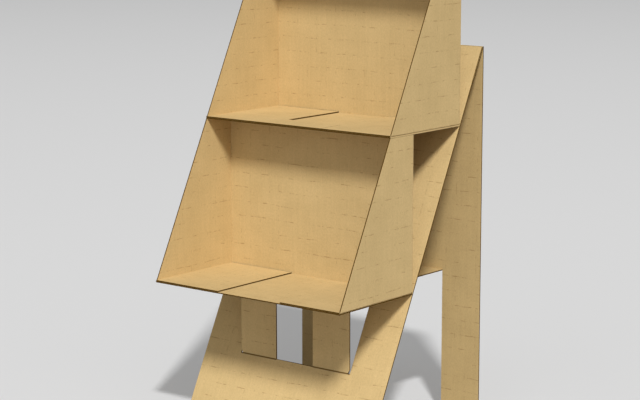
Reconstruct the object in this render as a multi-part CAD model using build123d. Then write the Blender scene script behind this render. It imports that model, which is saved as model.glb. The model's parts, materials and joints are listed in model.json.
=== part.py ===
"""Cardboard display stand: two open-fronted bins stacked on a leaning easel.

Units are millimetres, +Z is up and the front looks along -Y.  The origin is on the
floor, midway across the width and midway between the foremost edge and the rear legs.
Every part is one folded sheet of the same corrugated board.
"""
import os
from math import cos, radians, sin, tan

from build123d import *

# ---- driving sizes -------------------------------------------------------------
WIDTH = 600.0           # across every sheet
BOARD = 3.0             # thickness of the corrugated board
PLY_GAP = 0.4           # air between two boards of one sheet lying on one another
FOLD_RADIUS = 2.4       # outside rounding of a scored fold

LEAN = 26.2             # degrees the easel leans back from upright
EASEL_HEIGHT = 994.0    # top edge of the easel above the floor
GLUE_FLAP = 100.0       # rear sheet's flap glued behind the easel, down from the ridge
SILL = 191.0            # fold of the easel's support flap above the floor
LEG = 120.0             # width of a rear leg and of a support strip
BEVEL_W = 6.0           # relief at each end of the support fold, across
BEVEL_H = 10.0          # and up

BIN_LEVEL = 395.0       # underside of the lower bin above the floor
BIN_RISE = 404.0        # height of one bin, underside to underside
BIN_DEPTH = 296.0       # front to back at the underside of a bin
LOWER_FLAPS = 212.0, 186.0      # left and right floor flap, from the wall inwards
UPPER_FLAPS = 212.0, 218.0
FLAP_BACK_GAP = 2.0     # a floor flap stops this far short of the back wall
TONGUE = 82.0           # depth of the tongue that the upper bin's left flap has along the front
TONGUE_GAP = 1.0        # clearance from its tip to the right flap

# ---- derived -------------------------------------------------------------------
SIN, COS, SLOPE = sin(radians(LEAN)), cos(radians(LEAN)), tan(radians(LEAN))
BOARD_Y = BOARD / COS                       # easel board measured front to back
RIDGE = EASEL_HEIGHT + FOLD_RADIUS * (1 / tan(radians(LEAN / 2)) - 1)   # before rounding
SPREAD = RIDGE * SLOPE + BOARD_Y            # front toe to back of the rear legs
SEAT_Y = FOLD_RADIUS * (SIN + COS - 1) / COS    # lets a bin's rounded rear fold meet the easel
OVERHANG = max(BIN_DEPTH - SEAT_Y - SLOPE * BIN_LEVEL, 0)   # lower bin's reach past the toe
TOE_Y = (OVERHANG - SPREAD) / 2
REAR_Y = (OVERHANG + SPREAD) / 2
HALF = WIDTH / 2
OPEN_HALF = HALF - LEG                      # half of the window and of the leg gap
STRIP_IN = OPEN_HALF - LEG                  # inner side of a support strip
PLY = BOARD + PLY_GAP                       # step from one board up to the next


def easel_front(z):
    """Y of the easel's front face at height z."""
    return TOE_Y + SLOPE * z


def easel_back(z):
    return easel_front(z) + BOARD_Y


def folded(face, folds):
    """Round the outside of each fold; folds are points on the outline."""
    for fold in folds:
        face = fillet(face.vertices().sort_by_distance(fold)[0], FOLD_RADIUS)
    return face


def yz_sheet(points, x0, x1, folds=()):
    """Prism from x0 to x1 with a (y, z) outline."""
    face = make_face(Polyline(*[(0, y, z) for y, z in points], close=True))
    face = folded(face, [(0, y, z) for y, z in folds])
    return Pos(x0, 0, 0) * extrude(face, amount=x1 - x0, dir=(1, 0, 0))


def xz_sheet(points, y0, y1, folds=()):
    """Prism from y0 to y1 with an (x, z) outline."""
    face = make_face(Polyline(*[(x, 0, z) for x, z in points], close=True))
    face = folded(face, [(x, 0, z) for x, z in folds])
    return Pos(0, y0, 0) * extrude(face, amount=y1 - y0, dir=(0, 1, 0))


def front_panel():
    """Leaning panel with a window whose flap stands up under the lower bin."""
    top = EASEL_HEIGHT
    panel = yz_sheet([(easel_front(0), 0), (easel_front(top), top),
                      (easel_front(top) + BOARD * COS, top - BOARD * SIN), (easel_back(0), 0)],
                     -HALF, HALF)

    # the window is as long as the flap that was folded out of it
    head = SILL + (BIN_LEVEL - SILL) * COS
    reach = 3 * BOARD
    panel -= yz_sheet([(easel_front(SILL) - reach, SILL), (easel_back(SILL) + reach, SILL),
                       (easel_front(head) + reach * COS, head - reach * SIN),
                       (easel_front(head) - reach * COS, head + reach * SIN)],
                      -OPEN_HALF, OPEN_HALF)

    # two support strips bend upright out of the board at the sill
    low, sill_y = SILL - 2 * BOARD, easel_front(SILL)
    knee = SILL - (BOARD_Y - BOARD) / SLOPE
    for side in (-1, 1):
        x0, x1 = sorted((side * STRIP_IN, side * OPEN_HALF))
        strip = yz_sheet([(easel_front(low), low), (sill_y, SILL), (sill_y, BIN_LEVEL),
                          (sill_y + BOARD, BIN_LEVEL), (sill_y + BOARD, knee),
                          (easel_back(low), low)], x0, x1)
        relief = xz_sheet([(side * OPEN_HALF, SILL + BEVEL_H), (side * OPEN_HALF, SILL),
                           (side * (OPEN_HALF - BEVEL_W), SILL)],
                          sill_y - reach, sill_y + reach)
        panel += strip - relief
    return panel


def rear_support():
    """Upright panel on two legs, glued by its top flap and braced against the easel."""
    inner_y = REAR_Y - BOARD
    end = RIDGE - GLUE_FLAP * COS
    upright = yz_sheet([(easel_back(end), end), (REAR_Y, RIDGE), (REAR_Y, 0), (inner_y, 0),
                        (inner_y, RIDGE - (BOARD_Y + BOARD) / SLOPE),
                        (easel_back(end) + BOARD * COS, end - BOARD * SIN)],
                       -HALF, HALF, folds=[(REAR_Y, RIDGE)])

    # the board between the legs folds forward into a level brace
    low = BIN_LEVEL - BOARD
    root = BIN_LEVEL + 2 * BOARD
    upright -= Pos(0, REAR_Y, root / 2) * Box(2 * OPEN_HALF, 4 * BOARD, root)
    brace = yz_sheet([(REAR_Y, root + BOARD), (REAR_Y, low), (easel_back(low), low),
                      (easel_back(BIN_LEVEL), BIN_LEVEL), (inner_y, BIN_LEVEL),
                      (inner_y, root + BOARD)],
                     -OPEN_HALF, OPEN_HALF, folds=[(REAR_Y, low)])
    return upright + brace


def bin_sheet(level, flaps, tongued, roofed):
    """One bin: a back, two side walls, a floor off the back and a flap off each side."""
    back = easel_front(level) + SEAT_Y
    front = back - BIN_DEPTH
    top = level + BIN_RISE
    lip = front + SLOPE * BIN_RISE          # front of the bin at its top
    flap_low = level + PLY
    flap_top = flap_low + BOARD
    wall_top = top - PLY if roofed else top
    fold_x = HALF - FOLD_RADIUS

    # back and side walls, from a plan
    plan = make_face(Polyline(
        (-HALF, front), (-HALF, back), (HALF, back), (HALF, front), (HALF - BOARD, front),
        (HALF - BOARD, back - BOARD), (-HALF + BOARD, back - BOARD), (-HALF + BOARD, front),
        close=True))
    plan = folded(plan, [(-HALF, back, 0), (HALF, back, 0)])
    sheet = Pos(0, 0, flap_top) * extrude(plan, amount=wall_top - flap_top)

    # a floor flap off each side wall, then both cut to the slanted front
    for side, reach in zip((-1, 1), flaps):
        outer, tip = side * HALF, side * (HALF - reach)
        sheet += xz_sheet([(outer, flap_top + BOARD), (outer, flap_low), (tip, flap_low),
                           (tip, flap_top), (side * (HALF - BOARD), flap_top),
                           (side * (HALF - BOARD), flap_top + BOARD)],
                          front, back - BOARD - FLAP_BACK_GAP, folds=[(outer, flap_low)])
    sheet -= yz_sheet([(front - 1, flap_top), (front + SLOPE * (flap_top - level), flap_top),
                       (lip, top), (lip, top + 1), (front - 1, top + 1)], -WIDTH, WIDTH)

    # the left flap's tongue runs along the front to the right flap
    if tongued:
        sheet += yz_sheet([(front, flap_low), (front + TONGUE, flap_low),
                           (front + TONGUE, flap_top), (front, flap_top)],
                          -HALF + flaps[0], HALF - flaps[1] - TONGUE_GAP)

    # the floor, folded forward off the back
    sheet += yz_sheet([(back, flap_top + BOARD), (back, level), (front, level),
                       (front, level + BOARD), (back - BOARD, level + BOARD),
                       (back - BOARD, flap_top + BOARD)], -fold_x, fold_x,
                      folds=[(back, level)])
    for side in (-1, 1):
        x0, x1 = sorted((side * fold_x, side * HALF))
        sheet += yz_sheet([(front, level), (back - FOLD_RADIUS, level),
                           (back - FOLD_RADIUS, level + BOARD), (front, level + BOARD)],
                          x0, x1)

    # the roof, folded forward off the back over the side walls
    if roofed:
        sheet += yz_sheet([(back, wall_top - BOARD), (back, top), (lip, top),
                           (lip, top - BOARD), (back - BOARD, top - BOARD),
                           (back - BOARD, wall_top - BOARD)], -fold_x, fold_x,
                          folds=[(back, top)])
        for side in (-1, 1):
            x0, x1 = sorted((side * fold_x, side * HALF))
            sheet += yz_sheet([(lip, top - BOARD), (lip, top), (back - FOLD_RADIUS, top),
                               (back - FOLD_RADIUS, top - BOARD)], x0, x1)
    return sheet


parts = {
    "front_panel": front_panel(),
    "rear_support": rear_support(),
    "lower_bin": bin_sheet(BIN_LEVEL, LOWER_FLAPS, tongued=False, roofed=False),
    "upper_bin": bin_sheet(BIN_LEVEL + BIN_RISE, UPPER_FLAPS, tongued=True, roofed=True),
}

os.makedirs("parts", exist_ok=True)
for name, shape in parts.items():
    solids = shape.solids()
    if len(solids) != 1:
        raise SystemExit(f"{name} came out as {len(solids)} solids")
    box = solids[0].bounding_box()
    print(name, round(solids[0].volume), box.min, box.max)
    export_step(solids[0], f"parts/{name}.step")
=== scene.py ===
import json
import math

import bmesh
import bpy
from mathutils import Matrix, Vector

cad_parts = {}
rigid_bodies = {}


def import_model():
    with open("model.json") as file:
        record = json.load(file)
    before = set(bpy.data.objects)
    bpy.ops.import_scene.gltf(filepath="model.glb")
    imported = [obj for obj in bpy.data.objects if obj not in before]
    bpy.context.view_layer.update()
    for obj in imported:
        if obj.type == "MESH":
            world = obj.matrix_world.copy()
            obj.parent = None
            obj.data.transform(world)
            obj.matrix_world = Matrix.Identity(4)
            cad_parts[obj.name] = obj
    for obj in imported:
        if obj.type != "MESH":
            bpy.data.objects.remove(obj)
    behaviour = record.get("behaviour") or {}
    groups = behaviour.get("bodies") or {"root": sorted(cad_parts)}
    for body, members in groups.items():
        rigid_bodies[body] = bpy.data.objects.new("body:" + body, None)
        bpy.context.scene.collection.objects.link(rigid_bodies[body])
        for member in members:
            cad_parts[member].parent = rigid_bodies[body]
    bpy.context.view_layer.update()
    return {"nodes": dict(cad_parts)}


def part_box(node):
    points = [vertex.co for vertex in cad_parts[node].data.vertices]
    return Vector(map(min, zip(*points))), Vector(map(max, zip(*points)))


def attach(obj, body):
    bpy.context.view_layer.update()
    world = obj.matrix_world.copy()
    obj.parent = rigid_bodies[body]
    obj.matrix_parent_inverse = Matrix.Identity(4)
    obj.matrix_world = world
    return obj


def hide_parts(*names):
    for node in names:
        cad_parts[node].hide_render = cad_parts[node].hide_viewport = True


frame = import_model()

# ---- Front panel ---------------------------------------------------------------
# The easel's leaning front, one sheet of single-wall kraft board.  It is die cut,
# and its window flap is scored, split in two and folded upright at the sill.
BOARD = 0.003                   # caliper of the board
CRUSHED_SHADE_RIM = 0.0008                  # the knife crushes the rim of a cut edge by this much; the rim is finished dark as painted shade
SILL = 0.191                    # score line of the window flap above the floor
STRIP_IN, STRIP_OUT = 0.060, 0.180      # the upright strips, from the middle
LEAN = math.radians(26.2)       # the easel leans back by this much
UP_THE_LEAN = Vector((0, math.sin(LEAN), math.cos(LEAN)))
LINER_LIGHT = (0.63, 0.454, 0.213, 1)
LINER_DARK = (0.47, 0.333, 0.146, 1)
# cut-end colours: the flute paper and liner ends darkened with painted shade, the open flute
# channels painted near black as shade
FLUTE_CHANNEL_SHADE = (0.060, 0.031, 0.005, 1)
SHADED_CUT_END = (0.140, 0.078, 0.018, 1)


def is_cut_edge(face):
    """True for the raw ends of the board, false for liner and for a rounded fold."""
    edges = [e for e in face.edges if len(e.link_faces) == 2]
    sharp = [e for e in edges if e.calc_face_angle(0) > math.radians(35)]
    sharp_length = sum(e.calc_length() for e in sharp)
    around = sum(e.calc_length() for e in face.edges)
    width = 2 * face.calc_area() / max(around - 2 * BOARD, BOARD)
    return width < 1.4 * BOARD and sharp_length > 0.8 * around


def lay_out(face, loops, chart):
    """Board coordinates in metres: across the flutes and up them."""
    n = face.normal
    for loop in loops:
        p = loop.vert.co
        if abs(n.x) > 0.7:
            loop[chart].uv = (p.y + 3.0, p.z)
        elif abs(n.z) > 0.75:
            loop[chart].uv = (p.x, p.y + 5.0)
        elif abs(abs(n.dot(Vector((0, math.cos(LEAN), -math.sin(LEAN))))) - 1) < 0.02:
            loop[chart].uv = (p.x + 7.0, p.dot(UP_THE_LEAN))
        else:
            loop[chart].uv = (p.x, p.z + 9.0)


def lay_out_edge(face, loops, chart):
    """Along the cut in metres, and 0 to 1 across the board."""
    edge = max(face.edges, key=lambda e: e.calc_length())
    along = (edge.verts[1].co - edge.verts[0].co).normalized()
    across = face.normal.cross(along)
    spread = [loop.vert.co.dot(across) for loop in loops]
    low, high = min(spread), max(spread)
    for loop, at in zip(loops, spread):
        v = (at - low) / max(high - low, 1e-6)
        loop[chart].uv = (loop.vert.co.dot(along), v)


def board_sheet(node, liner, edge, turned=0.0):
    """The folded sheet of a node, its liner and its cut edges as separate finishes.

    Side edges lower than turned are papered over, so they are finished as liner."""
    mesh = frame["nodes"][node].data.copy()
    mesh.name = node + "_board"
    mesh.materials.clear()
    mesh.materials.append(liner)
    mesh.materials.append(edge)
    bm = bmesh.new()
    bm.from_mesh(mesh)
    bmesh.ops.remove_doubles(bm, verts=bm.verts, dist=1e-6)
    bmesh.ops.dissolve_limit(bm, angle_limit=math.radians(1), verts=bm.verts, edges=bm.edges)
    for face in bm.faces:
        papered = abs(face.normal.x) > 0.9 and face.calc_center_median().z < turned
        face.material_index = 1 if is_cut_edge(face) and not papered else 0
    # painted shade: the liner's rim along each cut edge is bevelled and given the dark cut-end
    # finish
    shaded_rims = [e for e in bm.edges if len(e.link_faces) == 2
            and {f.material_index for f in e.link_faces} == {0, 1}
            and e.calc_face_angle(0) > math.radians(35)]
    bmesh.ops.bevel(bm, geom=shaded_rims, offset=CRUSHED_SHADE_RIM, offset_type="OFFSET", segments=1,
                    profile=0.5, affect="EDGES", clamp_overlap=True, material=1)
    bmesh.ops.triangulate(bm, faces=[f for f in bm.faces if f.material_index == 1])
    for old in list(bm.loops.layers.uv.values()):
        bm.loops.layers.uv.remove(old)
    chart = bm.loops.layers.uv.new("Board")
    for edge in bm.edges:
        edge.smooth = len(edge.link_faces) == 2 and edge.calc_face_angle(0) < math.radians(30)
    for face in bm.faces:
        face.smooth = True
        if face.material_index == 1:
            lay_out_edge(face, face.loops, chart)
        else:
            lay_out(face, face.loops, chart)
    bm.to_mesh(mesh)
    bm.free()
    sheet = bpy.data.objects.new(node + "_board", mesh)
    bpy.context.scene.collection.objects.link(sheet)
    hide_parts(node)
    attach(sheet, "root")
    return sheet


def kraft_liner(name, light, dark, sill_crease_shade=False):
    """Brown liner paper: fibre grain, soft clouding and short marks in level rows.

    With the sill crease shade on, it also has a painted shade line, coloured like a shaded cut
    end, along the window flap's crease at the sill."""
    mat = bpy.data.materials.new(name)
    mat.use_nodes = True
    nodes, links = mat.node_tree.nodes, mat.node_tree.links
    nodes.clear()
    out = nodes.new("ShaderNodeOutputMaterial")
    paper = nodes.new("ShaderNodeBsdfPrincipled")
    paper.inputs["Roughness"].default_value = 0.78
    paper.inputs["Specular IOR Level"].default_value = 0.25
    links.new(paper.outputs[0], out.inputs[0])
    chart = nodes.new("ShaderNodeUVMap")
    chart.uv_map = "Board"

    def scaled(x, y):
        m = nodes.new("ShaderNodeMapping")
        m.inputs["Scale"].default_value = (x, y, 1)
        links.new(chart.outputs[0], m.inputs[0])
        return m.outputs[0]

    def grain(x, y, detail, rough=0.6):
        n = nodes.new("ShaderNodeTexNoise")
        n.noise_dimensions = "2D"
        n.inputs["Scale"].default_value = 1
        n.inputs["Detail"].default_value = detail
        n.inputs["Roughness"].default_value = rough
        links.new(scaled(x, y), n.inputs["Vector"])
        return n.outputs["Fac"]

    def math_node(kind, a, b=0.0, c=None):
        m = nodes.new("ShaderNodeMath")
        m.operation = kind
        for i, v in enumerate((a, b, c)):
            if v is None:
                continue
            if isinstance(v, (int, float)):
                m.inputs[i].default_value = v
            else:
                links.new(v, m.inputs[i])
        return m.outputs[0]

    def ramp(fac, low, high):
        m = nodes.new("ShaderNodeMapRange")
        m.inputs["From Min"].default_value = low
        m.inputs["From Max"].default_value = high
        links.new(fac, m.inputs["Value"])
        return m.outputs[0]

    split = nodes.new("ShaderNodeSeparateXYZ")
    links.new(chart.outputs[0], split.inputs[0])
    clouds = ramp(grain(9, 14, 3), 0.3, 0.7)
    fibre = ramp(grain(420, 900, 4, 0.7), 0.3, 0.7)
    streak = ramp(grain(95, 6, 2), 0.35, 0.75)

    # short level marks, in rows a hand's width of flutes apart
    drift = math_node("MULTIPLY", grain(9, 3, 2), 0.22)
    row = math_node("ADD", math_node("MULTIPLY", split.outputs[1], 26.0), drift)
    near = math_node("PINGPONG", row, 0.5)
    line = ramp(near, 0.042, 0.008)
    broken = ramp(grain(30, 25, 3, 0.8), 0.50, 0.66)
    marks = math_node("MULTIPLY", line, broken)
    column = math_node("ADD", math_node("MULTIPLY", split.outputs[0], 31.0), drift)
    tick_line = ramp(math_node("PINGPONG", column, 0.5), 0.05, 0.0)
    tick = math_node("MULTIPLY", tick_line, ramp(grain(33, 48, 2), 0.60, 0.68))
    marks = math_node("MAXIMUM", marks, math_node("MULTIPLY", tick, 0.6))

    speck = ramp(grain(240, 190, 3, 0.75), 0.32, 0.68)
    tone = math_node("ADD", math_node("MULTIPLY", clouds, 0.25),
                     math_node("MULTIPLY", fibre, 0.20))
    tone = math_node("ADD", tone, math_node("MULTIPLY", streak, 0.15))
    tone = math_node("ADD", tone, math_node("MULTIPLY", speck, 0.40))
    mix = nodes.new("ShaderNodeMix")
    mix.data_type = "RGBA"
    links.new(tone, mix.inputs["Factor"])
    mix.inputs["A"].default_value = dark
    mix.inputs["B"].default_value = light
    marked = nodes.new("ShaderNodeMix")
    marked.data_type = "RGBA"
    marked.blend_type = "MULTIPLY"
    links.new(math_node("MULTIPLY", marks, 0.62), marked.inputs["Factor"])
    links.new(mix.outputs["Result"], marked.inputs["A"])
    marked.inputs["B"].default_value = (0.44, 0.33, 0.18, 1)
    colour = marked.outputs["Result"]
    # painted shade: a dark line in the shaded cut-end colour along the sill crease, between the
    # upright strips
    if sill_crease_shade:
        body = nodes.new("ShaderNodeTexCoord")
        spot = nodes.new("ShaderNodeSeparateXYZ")
        links.new(body.outputs["Object"], spot.inputs[0])
        off_sill = math_node("ABSOLUTE", math_node("SUBTRACT", spot.outputs[2], SILL))
        out_x = math_node("ABSOLUTE", spot.outputs[0])
        on_strip = math_node("MULTIPLY", math_node("GREATER_THAN", out_x, STRIP_IN),
                             math_node("LESS_THAN", out_x, STRIP_OUT))
        crease_shade_mask = math_node("MULTIPLY", ramp(off_sill, 0.0026, 0.0010), on_strip)
        crease_shade_mix = nodes.new("ShaderNodeMix")
        crease_shade_mix.data_type = "RGBA"
        links.new(crease_shade_mask, crease_shade_mix.inputs["Factor"])
        links.new(colour, crease_shade_mix.inputs["A"])
        crease_shade_mix.inputs["B"].default_value = SHADED_CUT_END
        colour = crease_shade_mix.outputs["Result"]
    links.new(colour, paper.inputs["Base Color"])

    # the flutes show faintly through the liner, with the marks pressed in
    wash = math_node("SINE", math_node("MULTIPLY", split.outputs[0], 2 * math.pi / 0.0065))
    height = math_node("ADD", math_node("MULTIPLY", wash, 0.12),
                       math_node("MULTIPLY", fibre, 0.25))
    height = math_node("SUBTRACT", height, math_node("MULTIPLY", marks, 0.6))
    bump = nodes.new("ShaderNodeBump")
    bump.inputs["Strength"].default_value = 0.35
    bump.inputs["Distance"].default_value = 0.0004
    links.new(height, bump.inputs["Height"])
    links.new(bump.outputs[0], paper.inputs["Normal"])
    return mat


def cut_board(name):
    """Raw end of single-wall board: two liners with the fluted paper waving between, the paper
    ends darkened with painted shade and the open channels between them painted near black as
    shade.
    """
    mat = bpy.data.materials.new(name)
    mat.use_nodes = True
    nodes, links = mat.node_tree.nodes, mat.node_tree.links
    nodes.clear()
    out = nodes.new("ShaderNodeOutputMaterial")
    paper = nodes.new("ShaderNodeBsdfPrincipled")
    paper.inputs["Roughness"].default_value = 0.95
    paper.inputs["Specular IOR Level"].default_value = 0.0
    links.new(paper.outputs[0], out.inputs[0])
    chart = nodes.new("ShaderNodeUVMap")
    chart.uv_map = "Board"
    split = nodes.new("ShaderNodeSeparateXYZ")
    links.new(chart.outputs[0], split.inputs[0])

    def math_node(kind, a, b=0.0):
        m = nodes.new("ShaderNodeMath")
        m.operation = kind
        for i, v in enumerate((a, b)):
            if isinstance(v, (int, float)):
                m.inputs[i].default_value = v
            else:
                links.new(v, m.inputs[i])
        return m.outputs[0]

    wave = math_node("SINE", math_node("MULTIPLY", split.outputs[0], 2 * math.pi / 0.0065))
    wave = math_node("ADD", math_node("MULTIPLY", wave, 0.36), 0.5)
    off = math_node("ABSOLUTE", math_node("SUBTRACT", split.outputs[1], wave))
    flute = math_node("LESS_THAN", off, 0.10)
    rim = math_node("ABSOLUTE", math_node("SUBTRACT", split.outputs[1], 0.5))
    rim = math_node("GREATER_THAN", rim, 0.43)
    seen = math_node("MAXIMUM", flute, rim)
    # painted shade fills the channels between the flute paper and the liners
    mix = nodes.new("ShaderNodeMix")
    mix.data_type = "RGBA"
    links.new(seen, mix.inputs["Factor"])
    mix.inputs["A"].default_value = FLUTE_CHANNEL_SHADE
    mix.inputs["B"].default_value = SHADED_CUT_END
    links.new(mix.outputs["Result"], paper.inputs["Base Color"])
    return mat


panel_liner = kraft_liner("panel_kraft", LINER_LIGHT, LINER_DARK, sill_crease_shade=True)
cut_edge = cut_board("cut_edge")
board_sheet("front_panel", panel_liner, cut_edge)

# ---- Rear support --------------------------------------------------------------
# The upright behind the easel, one sheet: a flap glued behind the front panel, two
# legs, and the board between them scored and folded forward as a level brace.
# painted shade: the support's liner is a copy of the panel and bin liner about a tenth darker,
# for the shade behind the easel
SUPPORT_SHADED_LIGHT = (0.57, 0.410, 0.190, 1)
SUPPORT_SHADED_DARK = (0.425, 0.301, 0.131, 1)
support_shaded_liner = kraft_liner("support_kraft_shaded", SUPPORT_SHADED_LIGHT, SUPPORT_SHADED_DARK)
board_sheet("rear_support", support_shaded_liner, cut_edge)

# ---- Bins ----------------------------------------------------------------------
# Two open-fronted trays of the same board, each folded from one blank: back, side
# walls cut to the lean, a floor, two floor flaps and, on the upper one, a roof.
bin_liner = kraft_liner("bin_kraft", LINER_LIGHT, LINER_DARK)
board_sheet("lower_bin", bin_liner, cut_edge)
upper_floor_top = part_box("upper_bin")[0][2] + BOARD
board_sheet("upper_bin", bin_liner, cut_edge, turned=upper_floor_top)

# ---- Floor, light and camera ---------------------------------------------------
# A pale floor out to the horizon, its colour painted darker with distance as painted shade, a
# soft key from the front right and a surrounding light brightest from a broad soft box at the
# front and dimmer behind.
FLOOR_SIZE = 120.0
floor_mesh = bpy.data.meshes.new("floor")
half = FLOOR_SIZE / 2
floor_mesh.from_pydata([(-half, -half, 0), (half, -half, 0), (half, half, 0), (-half, half, 0)],
                       [], [(0, 1, 2, 3)])
floor = bpy.data.objects.new("floor", floor_mesh)
bpy.context.scene.collection.objects.link(floor)
pale = bpy.data.materials.new("pale_floor")
pale.use_nodes = True
tree = pale.node_tree
tree.nodes.clear()
floor_out = tree.nodes.new("ShaderNodeOutputMaterial")
floor_paint = tree.nodes.new("ShaderNodeBsdfDiffuse")
place = tree.nodes.new("ShaderNodeTexCoord")
length = tree.nodes.new("ShaderNodeVectorMath")
length.operation = "LENGTH"
# painted shade: the floor's colour darkens with distance from the stand, standing in for the
# light falling off across the floor
floor_distance_shade = tree.nodes.new("ShaderNodeMapRange")
floor_distance_shade.inputs["From Min"].default_value = 0.0
floor_distance_shade.inputs["From Max"].default_value = 16.0
floor_shade_mix = tree.nodes.new("ShaderNodeMix")
floor_shade_mix.data_type = "RGBA"
floor_shade_mix.inputs["A"].default_value = (0.53, 0.53, 0.53, 1)
floor_shade_mix.inputs["B"].default_value = (0.34, 0.34, 0.34, 1)
tree.links.new(place.outputs["Object"], length.inputs[0])
tree.links.new(length.outputs["Value"], floor_distance_shade.inputs["Value"])
tree.links.new(floor_distance_shade.outputs[0], floor_shade_mix.inputs["Factor"])
tree.links.new(floor_shade_mix.outputs["Result"], floor_paint.inputs["Color"])
floor_glow = tree.nodes.new("ShaderNodeEmission")       # keeps the floor's shadows pale
floor_glow.inputs["Strength"].default_value = 0.22
floor_sum = tree.nodes.new("ShaderNodeAddShader")
tree.links.new(floor_paint.outputs[0], floor_sum.inputs[0])
tree.links.new(floor_glow.outputs[0], floor_sum.inputs[1])
tree.links.new(floor_sum.outputs[0], floor_out.inputs[0])
floor_mesh.materials.append(pale)
floor_only = bpy.data.collections.new("floor_only")
floor_only.objects.link(floor)
floor.light_linking.receiver_collection = floor_only    # its glow stays off the boards

world = bpy.data.worlds.new("studio")
bpy.context.scene.world = world
world.use_nodes = True
room = world.node_tree
sky = room.nodes["Background"]
aim = room.nodes.new("ShaderNodeTexCoord")
facing = room.nodes.new("ShaderNodeVectorMath")         # a broad soft box at the front
facing.operation = "DOT_PRODUCT"
facing.inputs[1].default_value = Vector((0.50, -0.84, 0.20)).normalized()
room.links.new(aim.outputs["Generated"], facing.inputs[0])
soft_box = room.nodes.new("ShaderNodeMapRange")
soft_box.interpolation_type = "SMOOTHSTEP"
soft_box.inputs["From Min"].default_value = 0.0
soft_box.inputs["From Max"].default_value = 1.0
soft_box.inputs["To Min"].default_value = 0.03
soft_box.inputs["To Max"].default_value = 0.72
room.links.new(facing.outputs["Value"], soft_box.inputs["Value"])
back_wall = room.nodes.new("ShaderNodeMapRange")        # the dimmer wall behind the stand
back_wall.inputs["From Min"].default_value = 0.0
back_wall.inputs["From Max"].default_value = -1.0
back_wall.inputs["To Max"].default_value = 0.30
room.links.new(facing.outputs["Value"], back_wall.inputs["Value"])
both = room.nodes.new("ShaderNodeMath")
both.operation = "ADD"
room.links.new(soft_box.outputs[0], both.inputs[0])
room.links.new(back_wall.outputs[0], both.inputs[1])
room.links.new(both.outputs[0], sky.inputs["Color"])
sky.inputs["Strength"].default_value = 1.0

KEY_TURN = math.radians(44.4)       # round to the right of the front
KEY_RISE = math.radians(44.9)
toward = Vector((math.sin(KEY_TURN) * math.cos(KEY_RISE),
                 -math.cos(KEY_TURN) * math.cos(KEY_RISE), math.sin(KEY_RISE)))
sheets = [o for o in bpy.context.scene.objects if o.name.endswith("_board")]


def key_lamp(name, energy, softness, lit):
    """One key: a lamp from the front right that lights only the objects in lit."""
    lamp = bpy.data.lights.new(name, "SUN")
    lamp.energy = energy
    lamp.angle = math.radians(softness)
    made = bpy.data.objects.new(name, lamp)
    made.rotation_euler = toward.to_track_quat("Z", "Y").to_euler()
    made.location = toward * 4
    bpy.context.scene.collection.objects.link(made)
    group = bpy.data.collections.new(name + "_on")
    for o in lit:
        group.objects.link(o)
    made.light_linking.receiver_collection = group


key_lamp("board_key", 3.50, 10.0, sheets)
key_lamp("floor_key", 2.95, 3.4, [floor])

CAMERA_AT = Vector((3.1665, -3.9496, 1.4792))
CAMERA_TURN = 0.6756
CAMERA_TILT = -0.1716
lens = bpy.data.cameras.new("camera")
lens.lens = 112.25
lens.sensor_width = 36.0
lens.clip_end = 300.0
camera = bpy.data.objects.new("camera", lens)
look = Vector((-math.sin(CAMERA_TURN) * math.cos(CAMERA_TILT),
               math.cos(CAMERA_TURN) * math.cos(CAMERA_TILT), math.sin(CAMERA_TILT)))
camera.location = CAMERA_AT
camera.rotation_euler = look.to_track_quat("-Z", "Y").to_euler()
bpy.context.scene.collection.objects.link(camera)
bpy.context.scene.camera = camera

bpy.context.scene.view_settings.view_transform = "Standard"

bpy.context.view_layer.update()
